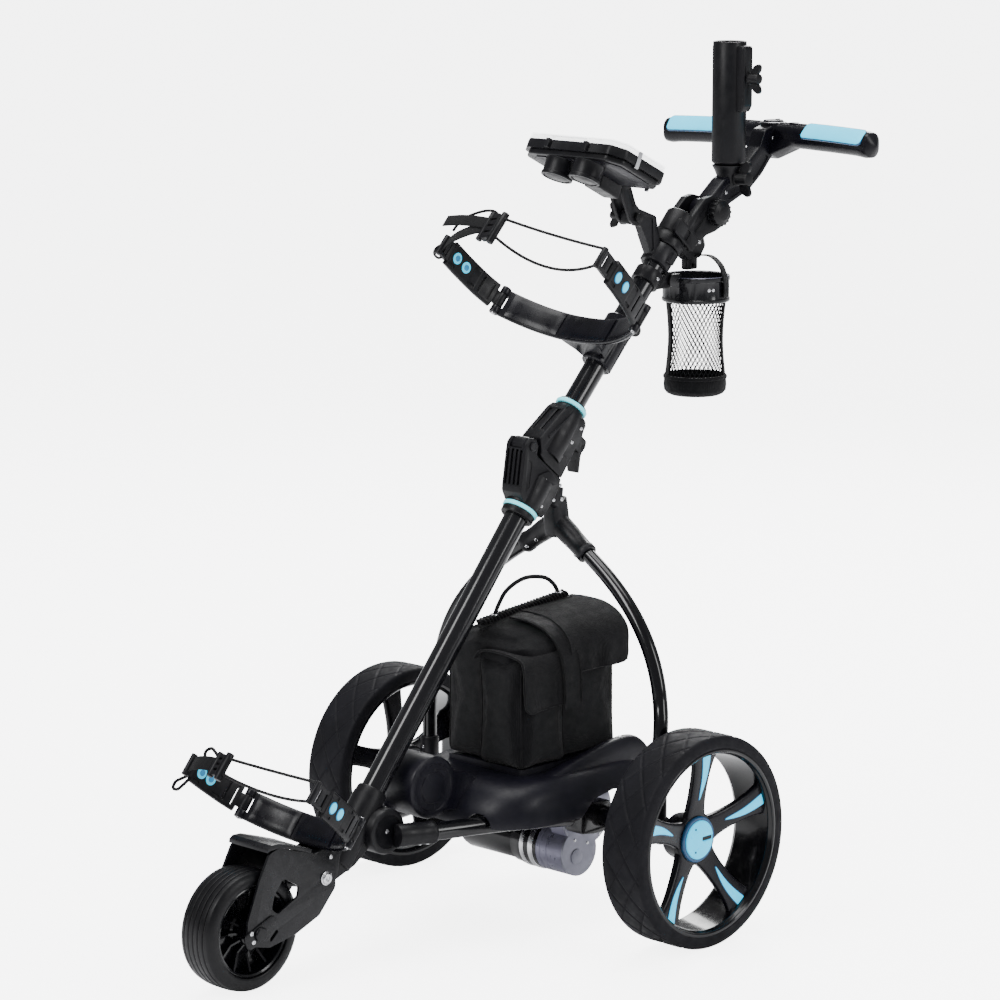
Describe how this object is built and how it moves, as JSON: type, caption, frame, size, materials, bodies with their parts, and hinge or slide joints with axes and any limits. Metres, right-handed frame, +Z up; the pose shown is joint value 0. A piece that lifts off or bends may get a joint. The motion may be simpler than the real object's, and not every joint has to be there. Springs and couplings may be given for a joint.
{
  "type": "electric golf trolley",
  "caption": "Folding powered golf trolley: inclined tube frame, bag cradles, T handle, battery on an axle housing, large rear wheels and a fixed front wheel.",
  "frame": {"origin": "on the ground, under the middle of the whole outline; the rear axle is at y 0.06875", "axes": "+Z up, -Y the way the trolley rolls, +X towards the side with the handle and umbrella knobs"},
  "size_m": [0.618, 1.0916, 1.134],
  "materials": {
    "black_tube": "satin",
    "black_plastic": "satin",
    "grey_plastic": "matte",
    "tyre": "matte",
    "blue": "satin",
    "pale_blue": "satin",
    "fabric": "woven nylon",
    "steel": "bright",
    "motor_grey": "satin",
    "clear": "clear plastic"
  },
  "bodies": {
    "frame": {"lower_main_tube": "black_tube", "hinge_lower_casting": "black_plastic", "hinge_pin": "steel", "lower_collar_ring": "pale_blue", "y_bracket": "black_plastic", "stay_left": "black_tube", "stay_right": "black_tube", "side_tube_left": "black_tube", "side_tube_right": "black_tube", "axle_tube_left": "black_tube", "axle_tube_right": "black_tube", "front_junction": "black_plastic", "front_fork": "black_tube", "front_axle": "steel", "fork_bolt": "steel", "lower_bag_saddle": "black_plastic", "motor_can": "black_tube", "gearbox_housing": "motor_grey", "gearbox_cover": "motor_grey", "drive_housing": "grey_plastic"},
    "battery": {"battery_pack": "grey_plastic", "battery_bag": "fabric"},
    "upper_frame": {"upper_tube": "black_tube", "hinge_upper_casting": "black_plastic", "upper_collar_ring": "pale_blue", "upper_bag_saddle": "black_plastic", "head_clamp": "black_plastic", "console_bracket": "black_plastic", "cup_holder_bracket": "black_plastic"},
    "latch": {"fold_latch": "black_plastic"},
    "handle": {"t_handle": "black_plastic", "grip_pad_left": "blue", "grip_pad_right": "blue"},
    "dial": {"speed_dial": "grey_plastic"},
    "button": {"power_button": "black_plastic"},
    "umbrella": {"umbrella_holder": "black_plastic"},
    "umbrella_clamp": {"umbrella_screw": "black_plastic"},
    "umbrella_knob": {"umbrella_foot_knob": "black_plastic"},
    "handle_knob": {"tilt_knob": "black_plastic"},
    "console": {"console_tray": "black_plastic"},
    "lid": {"console_lid": "clear"},
    "console_knob": {"console_tilt_knob": "black_plastic"},
    "cup": {"cup_ring": "black_plastic", "cup_basket": "fabric"},
    "bag_knob": {"bag_clamp_knob": "black_plastic"},
    "upper_arm_left": {"upper_bag_arm_left": "black_plastic"},
    "upper_arm_right": {"upper_bag_arm_right": "black_plastic"},
    "lower_arm_left": {"lower_bag_arm_left": "black_plastic"},
    "lower_arm_right": {"lower_bag_arm_right": "black_plastic"},
    "wheel_right": {"rear_tyre_right": "tyre", "rear_rim_right": "black_plastic", "hub_cap_right": "blue", "drive_shaft_right": "steel"},
    "wheel_left": {"rear_tyre_left": "tyre", "rear_rim_left": "black_plastic", "hub_cap_left": "blue", "drive_shaft_left": "steel"},
    "front_wheel": {"front_tyre": "tyre", "front_rim": "black_plastic"},
    "rotor": {"motor_rotor": "steel"}
  },
  "joints": [
    {"name": "frame_fold", "type": "hinge", "parent": "frame", "child": "upper_frame", "pos_m": [0, 0.03558, 0.62543], "axis": [1, 0, 0], "range_deg": [0, 120]},
    {"name": "latch_release", "type": "hinge", "parent": "upper_frame", "child": "latch", "pos_m": [0, 0.13382, 0.61249], "axis": [1, 0, 0], "range_deg": [0, 25]},
    {"name": "handle_tilt", "type": "hinge", "parent": "upper_frame", "child": "handle", "pos_m": [0, 0.38675, 0.906], "axis": [1, 0, 0], "range_deg": [-20, 25]},
    {"name": "handle_knob_turn", "type": "hinge", "parent": "upper_frame", "child": "handle_knob", "pos_m": [0.0245, 0.38675, 0.906], "axis": [1, 0, 0], "range_deg": [0, 270]},
    {"name": "dial_turn", "type": "hinge", "parent": "handle", "child": "dial", "pos_m": [0, 0.53075, 1.009], "axis": [0, 0, 1], "range_deg": [-135, 135]},
    {"name": "button_press", "type": "slide", "parent": "handle", "child": "button", "axis": [0, 0, -1], "range_m": [0, 0.002]},
    {"name": "umbrella_swivel", "type": "hinge", "parent": "handle", "child": "umbrella", "pos_m": [0, 0.43775, 0.962], "axis": [0, 0, 1], "range_deg": [-90, 90]},
    {"name": "umbrella_clamp_turn", "type": "hinge", "parent": "umbrella", "child": "umbrella_clamp", "pos_m": [0.029, 0.43775, 1.085], "axis": [1, 0, 0], "range_deg": [0, 270]},
    {"name": "umbrella_knob_turn", "type": "hinge", "parent": "handle", "child": "umbrella_knob", "pos_m": [0.0144, 0.43775, 0.948], "axis": [1, 0, 0], "range_deg": [0, 270]},
    {"name": "console_tilt", "type": "hinge", "parent": "upper_frame", "child": "console", "pos_m": [0, 0.23875, 0.91], "axis": [1, 0, 0], "range_deg": [-12, 15]},
    {"name": "console_knob_turn", "type": "hinge", "parent": "upper_frame", "child": "console_knob", "pos_m": [-0.018, 0.23875, 0.91], "axis": [-1, 0, 0], "range_deg": [0, 270]},
    {"name": "lid_open", "type": "hinge", "parent": "console", "child": "lid", "pos_m": [0, 0.12169, 1.02172], "axis": [1, 0, 0], "range_deg": [0, 110]},
    {"name": "cup_swing", "type": "hinge", "parent": "upper_frame", "child": "cup", "pos_m": [0, 0.31675, 0.818], "axis": [1, 0, 0], "range_deg": [-12, 12]},
    {"name": "bag_knob_turn", "type": "hinge", "parent": "upper_frame", "child": "bag_knob", "pos_m": [0.0246, 0.21639, 0.76209], "axis": [1, 0, 0], "range_deg": [0, 270]},
    {"name": "upper_arm_left_swing", "type": "hinge", "parent": "upper_frame", "child": "upper_arm_left", "pos_m": [-0.127, 0.12154, 0.79634], "axis": [0, 0.677, 0.736], "range_deg": [-10, 35]},
    {"name": "upper_arm_right_swing", "type": "hinge", "parent": "upper_frame", "child": "upper_arm_right", "pos_m": [0.127, 0.12154, 0.79634], "axis": [0, 0.677, 0.736], "range_deg": [-35, 10]},
    {"name": "lower_arm_left_swing", "type": "hinge", "parent": "frame", "child": "lower_arm_left", "pos_m": [-0.101, -0.36711, 0.19911], "axis": [0, 0.6342, 0.7732], "range_deg": [-10, 35]},
    {"name": "lower_arm_right_swing", "type": "hinge", "parent": "frame", "child": "lower_arm_right", "pos_m": [0.101, -0.36711, 0.19911], "axis": [0, 0.6342, 0.7732], "range_deg": [-35, 10]},
    {"name": "wheel_right_spin", "type": "hinge", "parent": "frame", "child": "wheel_right", "pos_m": [0.275, 0.06875, 0.14], "axis": [1, 0, 0], "continuous": true},
    {"name": "wheel_left_spin", "type": "hinge", "parent": "frame", "child": "wheel_left", "pos_m": [-0.275, 0.06875, 0.14], "axis": [1, 0, 0], "continuous": true},
    {"name": "front_wheel_spin", "type": "hinge", "parent": "frame", "child": "front_wheel", "pos_m": [0, -0.46825, 0.0775], "axis": [1, 0, 0], "continuous": true},
    {"name": "rotor_spin", "type": "hinge", "parent": "frame", "child": "rotor", "pos_m": [0, 0.05375, 0.08813], "axis": [1, 0, 0], "continuous": true},
    {"name": "battery_slide_out", "type": "slide", "parent": "frame", "child": "battery", "axis": [0, 1, 0], "range_m": [0, 0.26]}
  ],
  "couplings": [
    {"joint": "rotor_spin", "follows": "wheel_right_spin", "ratio": -2.8571}
  ]
}
